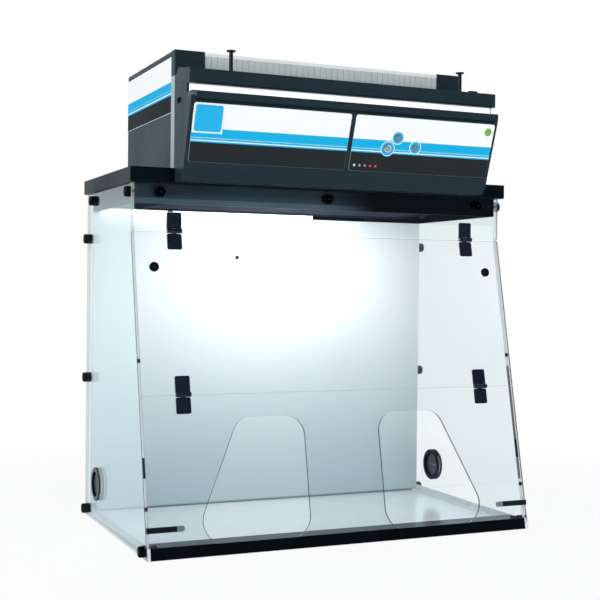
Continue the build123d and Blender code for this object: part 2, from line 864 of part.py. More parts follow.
def fan_rotor():
    """Hub and pitched blades on the motor shaft."""
    z0 = deck_z + deck_t + fan_gap
    hub = Pos(0, 0, hub_h / 2) * Cylinder(hub_r, hub_h)
    hub = fillet(hub.edges().group_by(Axis.Z)[-1], 6)
    reach = fan_r - fan_gap - hub_r
    rotor = hub
    for i in range(blade_n):
        blade = Pos(hub_r + reach / 2 - 4, 0, hub_h / 2) * Rot(blade_pitch, 0, 0) * Box(reach, blade_w, blade_t)
        rotor += Rot(0, 0, i * 360 / blade_n) * blade
    rotor &= Pos(0, 0, hub_h / 2) * Cylinder(fan_r - fan_gap, hub_h)
    rotor -= Pos(0, 0, 0) * Cylinder(shaft_r + fit_gap, (hub_h - 7.5) * 2)
    return Pos(0, fan_mid_y, z0) * rotor


def exhaust_filter():
    """Light grey exhaust filter on the case's shelf, with low upright ribs and a rim along its front."""
    span = case_half - block_w - seat_gap
    inside = case_half - case_wall - seat_gap
    face_y = block_front_y + exhaust_set
    y0 = face_y + pleat_depth
    y1 = case_back_y - case_wall - seat_gap
    z0 = front_wall_z
    body = block(-inside, inside, case_front_y + case_wall + seat_gap, y1, z0, case_top_z)
    body += block(-span, span, y0, case_front_y + case_wall + seat_gap, z0, case_top_z)
    pitch = 2 * span / pleat_n
    rib_w = pitch * pleat_share
    for i in range(pleat_n):
        x = -span + (i + 0.5) * pitch
        body += block(x - rib_w / 2, x + rib_w / 2, face_y, y0, z0, case_top_z)
    return body + block(-span, span, face_y, face_y + exhaust_rim_t, case_top_z, case_top_z + exhaust_rim)


def power_inlet():
    """Mains inlet in the back wall, open to the back, with three prongs."""
    back = Plane(origin=(inlet_x, case_back_y, inlet_z), x_dir=(1, 0, 0), z_dir=(0, 1, 0))
    w, h = inlet_w - 2 * fit_gap, inlet_h - 2 * fit_gap
    body = slab_on(back, Rectangle(w, h), -inlet_d, 0)
    flange = RectangleRounded(inlet_w + inlet_flange * 2, inlet_h + inlet_flange * 2, inlet_flange)
    body += slab_on(back, flange, 0, inlet_flange_t)
    recess = RectangleRounded(w - inlet_wall * 2, h - inlet_wall * 2, 3)
    body -= slab_on(back, recess, -inlet_d + inlet_wall, inlet_flange_t + 1)
    for x, y in ((-prong_spread, -1), (0, 3), (prong_spread, -1)):
        body += rod(back, x, y, prong_r, -inlet_d + inlet_wall, -2)
    return body


def label_point(up, out):
    """Y and Z of a point on the label face's own frame."""
    p = label_face.origin + label_face.y_dir * up + label_face.z_dir * out
    return p.Y, p.Z


def fascia_outline():
    """Outer section of the control front's housing."""
    return [
        (fascia_foot_back_y, fascia_foot_z),
        (fascia_foot_front_y, fascia_foot_z),
        (fascia_knee_y, fascia_knee_z),
        label_point(0, -label_t),
        label_point(label_h, -label_t),
        (low_bar_y + 8, low_bar_z0),
        (low_bar_y + 8, low_bar_z1 - bar_t),
        (strip_face_y + status_t, low_bar_z1 - bar_t),
        (strip_face_y + status_t, top_bar_z1 - bar_t),
        (cap_back_y, top_bar_z1 + top_bar_rise - bar_t),
        (block_front_y, top_bar_z1 + top_bar_rise - bar_t * 3),
        (block_front_y, slab_top_z + fascia_step_gap),
        (fascia_foot_back_y, slab_top_z + fascia_step_gap),
    ]


def fascia_inner():
    """Inner section of the housing, one wall in from the outer one."""
    t = fascia_wall
    return [
        (fascia_foot_back_y - t, fascia_foot_z + t),
        (fascia_foot_front_y + t * 0.6, fascia_foot_z + t),
        (fascia_knee_y + t, fascia_knee_z + t * 0.4),
        label_point(0, -label_t - t),
        label_point(label_h, -label_t - t),
        (low_bar_y + 8 + t, low_bar_z0),
        (low_bar_y + 8 + t, low_bar_z1 - bar_t - t),
        (strip_face_y + status_t + t, low_bar_z1 - bar_t - t),
        (strip_face_y + status_t + t, top_bar_z1 - bar_t * 2),
        (cap_back_y, top_bar_z1 + top_bar_rise - bar_t - t),
        (block_front_y - t, top_bar_z1 + top_bar_rise - bar_t * 3 - t),
        (block_front_y - t, slab_top_z + fascia_step_gap + t),
        (fascia_foot_back_y - t, slab_top_z + fascia_step_gap + t),
    ]


def label_holes(extra, n0, n1):
    """Round holes for the buttons and lenses, wider by a clearance."""
    holes = [rod(label_face, x, up, r + button_gap + extra, n0, n1) for x, up, r in button_spots.values()]
    holes.append(rod(label_face, lens_x, lens_up, lens_r + fit_gap, n0, n1))
    for x in status_lens_spots():
        holes.append(rod(label_face, x, status_lens_up, status_lens_r + fit_gap, n0, n1))
    return holes


def status_lens_spots():
    """X of the small status lenses."""
    return [status_lens_x + i * status_lens_pitch for i in range(status_lens_n)]


def board_boss_spots():
    """X and height up the label of the four board bosses."""
    mid = board_x0 + board_w / 2
    dx, dy = board_w / 2 - boss_r * 2, board_h / 2 - boss_r * 1.5
    return [(mid + sx * dx, board_up + sy * dy) for sx in (-1, 1) for sy in (-1, 1)]


def fascia_housing():
    """Hollow housing of the control front, open at both ends, with bosses for the board."""
    shell = prism_x(fascia_outline(), -fascia_half, fascia_half)
    shell -= prism_x(fascia_inner(), -fascia_half - 1, fascia_half + 1)
    for hole in label_holes(0, -label_t - fascia_wall - 2, 1):
        shell -= hole
    for x, up in board_boss_spots():
        shell += rod(label_face, x, up, boss_r, -board_depth, -label_t - fascia_wall * 0.5)
    return shell


def label_plate(x0, x1):
    """Rounded label plate on the label face."""
    sketch = Pos((x0 + x1) / 2, label_h / 2) * RectangleRounded(x1 - x0, label_h, label_corner_r)
    plate = slab_on(label_face, sketch, -label_t, 0)
    return fillet(plate.faces().sort_by(lambda f: f.center().Y)[0].edges(), 0.5)


def label_plates():
    """Left plate, and right plate with the holes for buttons and lenses."""
    left = label_plate(-label_end, label_split_x - label_split / 2)
    right = label_plate(label_split_x + label_split / 2, label_end)
    for hole in label_holes(0, -label_t - 1, 1):
        right -= hole
    return left, right


def end_cap():
    """Right end cap following the whole side outline."""
    recess_y = strip_face_y + status_t
    outline = [
        (cap_back_y, fascia_foot_z),
        (fascia_foot_front_y, fascia_foot_z),
        (fascia_knee_y, fascia_knee_z),
        label_point(0, -label_t),
        label_point(label_h, -label_t),
        (low_bar_y + 2, low_bar_z0),
        (low_bar_y, low_bar_z1),
        (recess_y, low_bar_z1),
        (recess_y, top_bar_z0),
        (top_bar_y, top_bar_z0),
        (top_bar_y, top_bar_z1),
        (cap_back_y - cap_corner, bar_surface_z(cap_corner - cap_back_y)),
        (cap_back_y, top_bar_z1 + top_bar_rise - cap_corner),
    ]
    cap = prism_x(outline, fascia_half, cap_outer_x)
    cap = chamfer(cap.faces().sort_by(Axis.X)[-1].edges(), 1.0)
    slot_y = cap_back_y - cap_slot_inset
    x0, x1 = cap_outer_x - cap_t / 2, cap_outer_x + 1
    cap -= block(x0, x1, slot_y - cap_slot_d, slot_y, cap_slot_z, cap_slot_z + cap_slot_h)
    seam_z1 = top_bar_z1 - seam_drop
    seam = [
        (cap_back_y - seam_start, seam_z1),
        (cap_back_y - seam_d - seam_w, seam_z1),
        (cap_back_y - seam_foot_d - seam_w, seam_z0),
        (cap_back_y - seam_foot_d, seam_z0),
        (cap_back_y - seam_d, seam_z1 - seam_w),
        (cap_back_y - seam_start, seam_z1 - seam_w),
    ]
    return cap - prism_x(seam, cap_outer_x - seam_depth, cap_outer_x + 1)


def clip_tab():
    """Low tab wrapped round the front corner of the left end cap."""
    z1 = low_bar_z1 - tab_drop
    return block(
        -cap_outer_x - tab_t, -fascia_half, low_bar_y - tab_t, low_bar_y + tab_reach, z1 - tab_h, z1)


def lower_bar():
    """Dark bar under the status strip, between the end caps."""
    outline = [
        (low_bar_y + 8, low_bar_z0),
        (low_bar_y + 2, low_bar_z0),
        (low_bar_y, low_bar_z1),
        (strip_face_y, low_bar_z1),
        (strip_face_y, low_bar_z1 - bar_t),
        (low_bar_y + 8, low_bar_z1 - bar_t),
    ]
    return prism_x(outline, -fascia_half, fascia_half)


def status_strip():
    """White light strip between the two bars, carried on across the end caps."""
    back = strip_face_y + status_t
    strip = block(-fascia_half, fascia_half, strip_face_y, back, low_bar_z1 - bar_t, status_z1)
    end_x = cap_outer_x - strip_end_inset
    return strip + block(-end_x, end_x, strip_face_y, back, low_bar_z1, top_bar_z0)


def top_bar():
    """Dark cap bar along the top of the control front, with holes for the pull pins."""
    c = top_bar_chamfer
    inner_y = strip_face_y
    outline = [
        (top_bar_y, top_bar_z0 + c),
        (top_bar_y + c, top_bar_z0),
        (inner_y, top_bar_z0),
        (inner_y, status_z1),
        (inner_y + status_t, status_z1),
        (inner_y + status_t, top_bar_z1 - bar_t),
        (cap_back_y, top_bar_z1 + top_bar_rise - bar_t),
        (cap_back_y, top_bar_z1 + top_bar_rise),
        (top_bar_y, top_bar_z1),
    ]
    bar = prism_x(outline, -fascia_half, fascia_half)
    rise = bar_surface_z(-pull_y)
    bar += block(
        clip_bump_x - clip_bump_w / 2, clip_bump_x + clip_bump_w / 2, pull_y - 4, pull_y + 6, rise - 3, rise + 3)
    for x in (-pull_x, pull_x):
        hole = Cylinder(pull_r + seat_gap, top_z, align=(Align.CENTER, Align.CENTER, Align.MIN))
        bar -= Pos(x, pull_y, pull_foot_z) * hole
    return bar


def bar_surface_z(depth):
    """Height of the sloping top of the upper bar at a distance ahead of the origin."""
    share = (-top_bar_y - depth) / (cap_back_y - top_bar_y)
    return top_bar_z1 + top_bar_rise * share


def pull_pin():
    """Upright pull pin with a flat disc head, standing in a blind hole in the upper bar."""
    stem = Cylinder(pull_r, pull_top_z - pull_foot_z, align=(Align.CENTER, Align.CENTER, Align.MIN))
    pin = Pos(0, pull_y, pull_foot_z) * stem
    disc = Cylinder(pull_disc_r, pull_disc_t, align=(Align.CENTER, Align.CENTER, Align.MAX))
    disc = fillet(disc.edges(), pull_disc_t * 0.3)
    return pin + Pos(0, pull_y, pull_top_z) * disc


def badge_plate():
    """Bare square plate with rounded corners on the left label."""
    sketch = Pos(badge_x, badge_up) * RectangleRounded(badge_w, badge_h, badge_corner_r)
    plate = slab_on(label_face, sketch, 0, badge_t)
    return fillet(plate.faces().sort_by(lambda f: f.center().Y)[0].edges(), 1.0)


def push_button(x, up, r):
    """Round push button with a skirt behind the housing wall."""
    back = -label_t - fascia_wall - seat_gap
    cap = rod(label_face, x, up, r, back - button_skirt, button_proud)
    cap = fillet(cap.edges().sort_by(lambda e: e.center().Y)[0], 0.5)
    flange_back = back - button_flange
    cap += rod(label_face, x, up, r + button_flange, flange_back, back)
    return cap - rod(label_face, x, up, r * 0.62, button_proud - 0.5, button_proud + 1)


def green_lens():
    """Round green lens at the right end of the label."""
    lens = rod(label_face, lens_x, lens_up, lens_r, -label_t - fascia_wall, lens_proud)
    return fillet(lens.edges().sort_by(lambda e: e.center().Y)[0], 0.6)


def status_lenses():
    """Row of small status lenses."""
    depth = -label_t - fascia_wall
    return group([rod(label_face, x, status_lens_up, status_lens_r, depth, 0.4) for x in status_lens_spots()])


def circuit_board():
    """Board on the bosses behind the right label, with a switch behind each button."""
    mid = board_x0 + board_w / 2
    sketch = Pos(mid, board_up) * Rectangle(board_w, board_h)
    board = slab_on(label_face, sketch, -board_depth - board_t, -board_depth)
    top = -label_t - fascia_wall - seat_gap - button_skirt - button_travel - button_gap
    for x, up, _ in button_spots.values():
        board += slab_on(label_face, Pos(x, up) * Rectangle(switch_w, switch_w), -board_depth, top)
    return board


def build():
    """Every piece by name."""
    up = Vector(0, 0, 1)
    front_up = front_face.y_dir
    left_label, right_label = label_plates()
    cap = end_cap()
    panel = side_panel()
    skin = side_skin()
    pin = pull_pin()
    parts = {
        "worktop": worktop(),
        "side_rails": both_sides(side_rail()),
        "front_sill": front_sill(),
        "side_panel_left": mirrored(panel),
        "side_panel_right": panel,
        "rear_panel": rear_panel(),
        "rear_port_plug": rear_port_plug(),
        "front_top_strip": front_top_strip(),
        "middle_panel": middle_panel(),
        "lower_panel": lower_panel(),
        "upper_hinge_fixed_leaves": at_hinges(leaf_parts(upper_axis, up, 1, outer_knuckles)),
        "upper_hinge_swing_leaves": at_hinges(leaf_parts(upper_axis, front_up, -1, middle_knuckle)),
        "upper_hinge_pins": hinge_pins(upper_axis),
        "fold_hinge_upper_leaves": at_hinges(leaf_parts(lower_axis, front_up, 1, outer_knuckles)),
        "fold_hinge_lower_leaves": at_hinges(leaf_parts(lower_axis, front_up, -1, middle_knuckle)),
        "fold_hinge_pins": hinge_pins(lower_axis),
        "magnet_knobs": magnet_knobs(),
        "catch_bars": catch_bars(),
        "catch_tips": catch_tips(),
        "cable_grommets": cable_grommets(),
        "grommet_membranes": grommet_membranes(),
        "edge_buffers": edge_buffers(),
        "edge_magnets": edge_magnets(),
        "collar_screws": collar_screws(),
        "edge_screws": edge_screws(),
        "rear_nut_posts": rear_nut_posts(),
        "top_plate": top_plate(),
        "collar_frame": collar_frame(),
        "prefilter_frame": prefilter_frame(),
        "prefilter_mat": prefilter_mat(),
        "prefilter_clips": prefilter_clips(),
        "lamp_housing": lamp_housing(),
        "lamp_diffuser": lamp_diffuser(),
        "filter_case": filter_case(),
        "side_skins": both_sides(skin),
        "top_frame": top_frame(),
        "corner_posts": corner_posts(),
        "carbon_filter": carbon_filter(),
        "fan_deck": fan_deck(),
        "fan_motor": fan_motor(),
        "fan_rotor": fan_rotor(),
        "exhaust_filter": exhaust_filter(),
        "power_inlet": power_inlet(),
        "fascia_housing": fascia_housing(),
        "end_cap_left": mirrored(cap) + clip_tab(),
        "end_cap_right": cap,
        "lower_bar": lower_bar(),
        "status_strip": status_strip(),
        "top_bar": top_bar(),
        "label_plate_left": left_label,
        "label_plate_right": right_label,
        "badge_plate": badge_plate(),
        "green_lens": green_lens(),
        "status_lenses": status_lenses(),
        "circuit_board": circuit_board(),
        "pull_pin_left": Pos(-pull_x, 0, 0) * pin,
        "pull_pin_right": Pos(pull_x, 0, 0) * pin,
    }
    for name, (x, height, r) in button_spots.items():
        parts[name] = push_button(x, height, r)
    return parts


os.makedirs("parts", exist_ok=True)
for node, solid in build().items():
    export_step(solid, f"parts/{node}.step")
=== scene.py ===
import math

import bmesh
import bpy
from mathutils import Matrix, Vector


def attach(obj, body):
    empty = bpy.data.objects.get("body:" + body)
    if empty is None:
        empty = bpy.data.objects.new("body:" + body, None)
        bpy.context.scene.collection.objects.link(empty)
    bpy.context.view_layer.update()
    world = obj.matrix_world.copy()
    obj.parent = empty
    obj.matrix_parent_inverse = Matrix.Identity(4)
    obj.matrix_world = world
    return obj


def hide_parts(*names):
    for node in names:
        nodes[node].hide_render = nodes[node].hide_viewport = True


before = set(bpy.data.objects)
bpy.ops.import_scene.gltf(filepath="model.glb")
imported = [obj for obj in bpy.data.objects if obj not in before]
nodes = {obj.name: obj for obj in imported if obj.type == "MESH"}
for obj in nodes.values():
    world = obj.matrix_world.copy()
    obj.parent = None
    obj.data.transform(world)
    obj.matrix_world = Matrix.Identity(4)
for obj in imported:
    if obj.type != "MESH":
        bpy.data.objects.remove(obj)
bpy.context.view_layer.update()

# Places shared with the solids, in metres
HINGE_Y, HINGE_Z = -0.1375, 0.728
LEAN = math.atan2(0.1555, 0.728)
LABEL_Y, LABEL_Z, LABEL_TILT = -0.2355, 0.881, math.radians(19)
LABEL_UP = (0, -math.sin(LABEL_TILT), math.cos(LABEL_TILT))
LABEL_OUT = (0, -math.cos(LABEL_TILT), -math.sin(LABEL_TILT))
LABEL_BAND, SIDE_BAND, SKIN_FOOT = (0.046, 0.078), (1.050, 1.082), 1.0106
FRONT_OUT = (0, -math.cos(LEAN), math.sin(LEAN))
FRONT_UP = (0, math.sin(LEAN), math.cos(LEAN))
FRONT_T, SIDE_T = 0.006, 0.008
SIDE_MID = 0.490
SEAL_SOFT = 0.006
HEAD_R, HEAD_L = 0.0125, 0.012
STUD_R = 0.003
KNOB_X, KNOB_UP = 0.445, 0.644
TAB_X, TAB_Y = -0.4004, -0.2824
BADGE_X, BADGE_UP = -0.3550, 0.101
BADGE_W, BADGE_H, BADGE_RIM = 0.064, 0.060, 0.004
BUTTONS = {"power_button": (0.1045, 0.0582, 0.0102), "light_button": (0.1279, 0.0858, 0.0078),
           "mode_button": (0.1786, 0.0648, 0.0078)}


def srgb(r, g, b):
    """Linear colour from the 0 to 255 values a screen shows."""
    return tuple(
        (c / 255 / 12.92) if c <= 10 else ((c / 255 + 0.055) / 1.055) ** 2.4 for c in (r, g, b)
    ) + (1.0,)


def shade(color, factor):
    """Colour made lighter or darker, alpha kept."""
    return tuple(min(1.0, c * factor) for c in color[:3]) + (1.0,)


class Graph:
    """Node graph of one material or of the world, built socket by socket."""

    def __init__(self, name, owner=None):
        self.owner = owner or bpy.data.materials.new(name)
        self.owner.use_nodes = True
        self.tree = self.owner.node_tree
        self.tree.nodes.clear()
        self.coords = self.put("TexCoord")
        self.place = self.coords.outputs["Object"]
        self.normal = self.coords.outputs["Normal"]

    def put(self, kind, values=None, **settings):
        """Add a node; each value is a socket to link or a plain number or colour."""
        node = self.tree.nodes.new("ShaderNode" + kind)
        for key, value in settings.items():
            setattr(node, key, value)
        for key, value in (values or {}).items():
            socket = node.inputs[key]
            if isinstance(value, bpy.types.NodeSocket):
                self.tree.links.new(value, socket)
            else:
                socket.default_value = value
        return node

    def calc(self, kind, a, b=0.0, c=0.0):
        """Result of a maths node."""
        node = self.put("Math", {0: a, 1: b}, operation=kind)
        if kind == "MULTIPLY_ADD":
            node.inputs[2].default_value = c
        return node.outputs[0]

    def reach(self, a, b):
        """Length of a diagonal from its two sides."""
        square = self.calc("ADD", self.calc("MULTIPLY", a, a), self.calc("MULTIPLY", b, b))
        return self.calc("SQRT", square)

    def along(self, direction, offset=0.0):
        """Distance of a point along a direction, in the part's own frame."""
        dot = self.put("VectorMath", {0: self.place, 1: direction}, operation="DOT_PRODUCT")
        return self.calc("SUBTRACT", dot.outputs["Value"], offset)

    def facing(self, direction):
        """How squarely the surface faces a direction, either way round."""
        dot = self.put("VectorMath", {0: self.normal, 1: direction}, operation="DOT_PRODUCT")
        return self.calc("ABSOLUTE", dot.outputs["Value"])

    def up_label(self, height=0.0):
        """Distance up the label's face from a height above its foot."""
        return self.along(LABEL_UP, LABEL_Y * LABEL_UP[1] + LABEL_Z * LABEL_UP[2] + height)

    def fade(self, value, low, high, to_low=0.0, to_high=1.0):
        """Value carried smoothly from one range to another and held at its ends."""
        node = self.put("MapRange", {
            "Value": value, "From Min": low, "From Max": high, "To Min": to_low, "To Max": to_high,
        }, interpolation_type="SMOOTHSTEP")
        return node.outputs["Result"]

    def noise(self, scale, detail=3.0, stretch=(1, 1, 1), rough=0.55):
        """Fractal noise over the part, with a scale in features per metre."""
        mapped = self.put("Mapping", {"Vector": self.place, "Scale": stretch})
        node = self.put("TexNoise", {
            "Vector": mapped.outputs[0], "Scale": scale, "Detail": detail, "Roughness": rough})
        return node.outputs["Fac"]

    def blend(self, fac, a, b):
        """Colour mixed between two."""
        return self.put("Mix", {0: fac, 6: a, 7: b}, data_type="RGBA").outputs[2]

    def bump(self, height, depth, strength=1.0):
        """Normal from a height in units of depth metres."""
        return self.put("Bump", {"Height": height, "Distance": depth, "Strength": strength}).outputs[0]

    def output(self, shader, kind="OutputMaterial"):
        """Join a shader's socket to the output and hand back the material."""
        self.put(kind, {"Surface": shader})
        return self.owner

    def surface(self, values):
        """Principled shader socket."""
        return self.put("BsdfPrincipled", values).outputs[0]


def coated(name, color, rough, spread=0.05, grain=900.0, depth=0.00002, specular=0.5, metallic=0.0, coat=0.0):
    """Paint or moulded plastic: faint cloudy colour, fine orange peel and uneven gloss."""
    g = Graph(name)
    cloud = g.noise(6.0, 4.0)
    fine = g.noise(grain, 2.0)
    tone = g.blend(g.fade(cloud, 0.3, 0.7), shade(color, 1 - spread), shade(color, 1 + spread))
    tone = g.blend(g.fade(fine, 0.2, 0.8, 0.0, 0.25), tone, shade(color, 1 - spread * 2))
    return g.output(g.surface({
        "Base Color": tone, "Roughness": g.fade(cloud, 0.25, 0.75, rough * 0.88, min(1.0, rough * 1.15)),
        "Metallic": metallic, "Specular IOR Level": specular, "Coat Weight": coat, "Coat Roughness": 0.08,
        "Normal": g.bump(fine, depth),
    }))


def sheet_gloss(g, wave):
    """Share of mirror gloss on a clear sheet, rising towards a slant, and its shader."""
    slant = g.put("LayerWeight", {"Blend": 0.5}).outputs["Facing"]
    share = g.calc("MULTIPLY_ADD", g.calc("POWER", slant, 5.0), 1.3, 0.035)
    gloss = g.put("BsdfGlossy", {
        "Color": (1.0, 1.0, 1.0, 1.0), "Roughness": g.fade(wave, 0.2, 0.8, 0.02, 0.05)}).outputs[0]
    return share, gloss


def acrylic(name, main, middle, thick, tint, edges, dark=None):
    """Clear sheet: tinted view through its faces, glossy at a slant, denser at its cut edges.

    The edges hold painted light and shade: the colour of a cut's rim lines, of cuts that face sideways and of
    the rest, standing in for the light the cut edges carry and reflect.
    """
    g = Graph(name)
    wave = g.noise(3.0, 2.0)
    clear = g.blend(wave, shade(tint, 0.99), shade(tint, 1.01))
    through = g.put("BsdfTransparent", {"Color": clear}).outputs[0]
    share, gloss = sheet_gloss(g, wave)
    face = g.put("MixShader", {0: share, 1: through, 2: gloss}).outputs[0]
    line, sideways, level = edges
    # Painted light and shade on the cut edges: one tone for cuts that face sideways, another for the rest.
    tone = g.blend(g.fade(g.facing((1, 0, 0)), 0.3, 0.8), level, sideways)
    # Painted shade: darker rim lines where a cut edge meets the faces.
    depth = g.calc("ABSOLUTE", g.along(main, middle))
    tone = g.blend(g.fade(depth, thick * 0.30, thick * 0.42), tone, line)
    tone = g.blend(g.fade(g.noise(40.0, 2.0), 0.3, 0.7, 0.0, 0.15), tone, line)
    if dark:
        low, high, color = dark
        height = g.along((0, 0, 1))
        above_low = g.fade(height, low, low + SEAL_SOFT)
        band = g.calc("MULTIPLY", above_low, g.fade(height, high, high + SEAL_SOFT, 1.0, 0.0))
        tone = g.blend(band, tone, color)
    cut = g.surface({"Base Color": tone, "Roughness": 0.22, "Specular IOR Level": 0.4, "Alpha": 0.85})
    rim = g.calc("LESS_THAN", g.facing(main), 0.6)
    return g.output(g.put("MixShader", {0: rim, 1: face, 2: cut}).outputs[0])


def striped(g, up, band, lines, colors):
    """Print by height: a dark field, a band of fine lines that grows solid, and a white field."""
    band_low, band_high = band
    white, blue, dark = colors
    count = g.calc("MULTIPLY", g.calc("SUBTRACT", up, band_low), lines / (band_high - band_low))
    phase = g.calc("FRACT", count)
    share = g.fade(up, band_low, (band_low + band_high) / 2, 0.55, 1.0)
    lined = g.blend(g.calc("LESS_THAN", phase, share), white, blue)
    tone = g.blend(g.calc("GREATER_THAN", up, band_low), dark, lined)
    return g.blend(g.calc("GREATER_THAN", up, band_high), tone, white)


WHITE = srgb(255, 255, 255)
BLUE = srgb(12, 180, 230)
CHARCOAL = srgb(34, 37, 39)
SLATE = srgb(30, 46, 53)


def label_print():
    """Front label film: charcoal foot, fine lines, white field, badge border and rings round the buttons."""
    g = Graph("label_print")
    up = g.up_label()
    across = g.along((1, 0, 0))
    tone = striped(g, up, LABEL_BAND, 6, (WHITE, BLUE, CHARCOAL))
    beside = g.calc("ABSOLUTE", g.calc("SUBTRACT", across, BADGE_X))
    above = g.calc("ABSOLUTE", g.calc("SUBTRACT", up, BADGE_UP))
    near = g.calc("MULTIPLY", g.calc("LESS_THAN", beside, BADGE_W / 2 + BADGE_RIM),
                  g.calc("LESS_THAN", above, BADGE_H / 2 + BADGE_RIM))
    tone = g.blend(near, tone, WHITE)
    for x, height, r in BUTTONS.values():
        dx = g.calc("SUBTRACT", across, x)
        far = g.reach(dx, g.calc("SUBTRACT", up, height))
        tone = g.blend(g.calc("LESS_THAN", far, r + 0.0082), tone, WHITE)
        tone = g.blend(g.calc("LESS_THAN", far, r + 0.0066), tone, BLUE)
    tone = g.blend(g.calc("LESS_THAN", g.facing(LABEL_OUT), 0.93), tone, srgb(176, 184, 188))
    fine = g.noise(1400.0, 2.0)
    tone = g.blend(g.fade(fine, 0.3, 0.7, 0.0, 0.03), tone, CHARCOAL)
    return g.output(g.surface({
        "Base Color": tone, "Roughness": g.fade(g.noise(8.0), 0.3, 0.7, 0.42, 0.52),
        "Specular IOR Level": 0.15, "Normal": g.bump(fine, 0.00001)}))


def side_print():
    """Side film of the filter case: charcoal foot, pinstripes and white above."""
    g = Graph("side_print")
    up = g.along((0, 0, 1))
    # The charcoal foot here is a darker copy of the front label's charcoal: painted shade on the case's side.
    tone = striped(g, up, SIDE_BAND, 5, (WHITE, BLUE, shade(CHARCOAL, 0.55)))
    tone = g.blend(g.calc("LESS_THAN", up, SKIN_FOOT), tone, srgb(200, 206, 208))
    fine = g.noise(1400.0, 2.0)
    return g.output(g.surface({
        "Base Color": tone, "Roughness": g.fade(g.noise(8.0), 0.3, 0.7, 0.50, 0.60),
        "Specular IOR Level": 0.06, "Normal": g.bump(fine, 0.00001)}))


def rear_sheet():
    """White rear panel with painted shade: greyer towards its foot where the lamp's light falls off, and a
    painted shadow line at its foot.
    """
    g = Graph("rear_sheet")
    cloud = g.noise(4.0, 3.0)
    height = g.along((0, 0, 1))
    # Painted shade: the panel greys towards its foot as the lamp's light falls off.
    tone = g.blend(g.fade(height, 0.0, 0.60), srgb(184, 200, 205), srgb(246, 250, 250))
    # Painted shadow: a dark line along the foot, in the gap against the worktop.
    tone = g.blend(g.fade(height, 0.010, 0.016, 1.0, 0.0), tone, srgb(110, 124, 130))
    tone = g.blend(g.fade(cloud, 0.3, 0.7, 0.0, 0.06), tone, srgb(190, 205, 210))
    return g.output(g.surface({
        "Base Color": tone, "Roughness": g.fade(cloud, 0.3, 0.7, 0.40, 0.50), "Specular IOR Level": 0.3,
        "Normal": g.bump(g.noise(700.0, 2.0), 0.00002)}))


def collar_paint():
    """Dark collar, paler where the lamp's light reaches its front."""
    g = Graph("collar_paint")
    cloud = g.noise(6.0, 3.0)
    across = g.along((1, 0, 0))
    # Painted light: the lamp's pool of light across the collar's front, with near black painted shade where
    # it doesn't reach.
    lit = g.calc("MULTIPLY", g.fade(across, -0.05, 0.14, 1.0, 0.0), g.fade(across, -0.46, -0.16, 0.62, 1.0))
    tone = g.blend(lit, srgb(0, 0, 4), srgb(58, 74, 86))
    # Painted highlight: a paler lit edge along the collar's foot, only inside the pool of light.
    foot = g.fade(g.along((0, 0, 1)), 0.803, 0.806, 1.0, 0.0)
    tone = g.blend(g.calc("MULTIPLY", foot, lit), tone, srgb(88, 104, 116))
    tone = g.blend(g.fade(cloud, 0.3, 0.7, 0.0, 0.1), tone, srgb(10, 18, 30))
    return g.output(g.surface({
        "Base Color": tone, "Roughness": g.fade(cloud, 0.3, 0.7, 0.34, 0.42), "Specular IOR Level": 0.05,
        "Normal": g.bump(g.noise(1500.0, 2.0), 0.00001)}))


def exhaust_media():
    """Light grey exhaust filter with faint upright folds and a nearly white rim."""
    g = Graph("exhaust_media")
    height = g.along((0, 0, 1))
    fibre = g.noise(900.0, 4.0, stretch=(1, 1, 0.2))
    streak = g.noise(60.0, 2.0, stretch=(1, 1, 0.02))
    tone = g.blend(g.fade(height, 1.092, 1.144), srgb(172, 183, 181), srgb(206, 214, 213))
    tone = g.blend(g.fade(streak, 0.35, 0.65, 0.0, 0.22), tone, srgb(205, 212, 210))
    tone = g.blend(g.fade(fibre, 0.3, 0.7, 0.0, 0.12), tone, srgb(110, 120, 120))
    tone = g.blend(g.calc("GREATER_THAN", height, 1.1441), tone, srgb(244, 249, 249))
    return g.output(g.surface({
        "Base Color": tone, "Roughness": 0.8, "Specular IOR Level": 0.2, "Normal": g.bump(fibre, 0.0002)}))


def knob_gloss():
    """Glossy black knob with a small pale painted highlight in the middle of its front."""
    g = Graph("knob_gloss")
    across = g.calc("SUBTRACT", g.calc("ABSOLUTE", g.along((1, 0, 0))), KNOB_X)
    drop = (HINGE_Z - KNOB_UP) / math.cos(LEAN)
    far = g.reach(across, g.along(FRONT_UP, HINGE_Y * FRONT_UP[1] + HINGE_Z * FRONT_UP[2] - drop))
    front = g.calc("GREATER_THAN", g.facing(FRONT_OUT), 0.5)
    # Painted highlight: a pale spot in the middle of the knob's front face.
    painted_highlight = g.calc("MULTIPLY", g.fade(far, 0.0010, 0.0026, 1.0, 0.0), front)
    tone = g.blend(painted_highlight, srgb(3, 5, 11), srgb(52, 60, 70))
    fine = g.noise(900.0, 2.0)
    return g.output(g.surface({
        "Base Color": g.blend(g.fade(fine, 0.3, 0.7, 0.0, 0.05), tone, srgb(40, 46, 54)),
        "Roughness": g.fade(g.noise(60.0), 0.3, 0.7, 0.18, 0.26), "Specular IOR Level": 0.25,
        "Normal": g.bump(fine, 0.00002)}))


def tab_paint(patch):
    """Slate paint of the left end cap, paler on the clip tab that stands proud of its front corner."""
    g = Graph("tab_paint")
    cloud = g.noise(6.0, 3.0)
    ahead = g.calc("LESS_THAN", g.along((0, 1, 0)), TAB_Y)
    beside = g.calc("LESS_THAN", g.along((1, 0, 0)), TAB_X)
    tone = g.blend(g.calc("MAXIMUM", ahead, beside), SLATE, patch)
    tone = g.blend(g.fade(cloud, 0.3, 0.7, 0.0, 0.10), tone, shade(SLATE, 0.6))
    return g.output(g.surface({
        "Base Color": tone, "Roughness": g.fade(cloud, 0.3, 0.7, 0.32, 0.40), "Specular IOR Level": 0.12,
        "Normal": g.bump(g.noise(1500.0, 2.0), 0.00002)}))


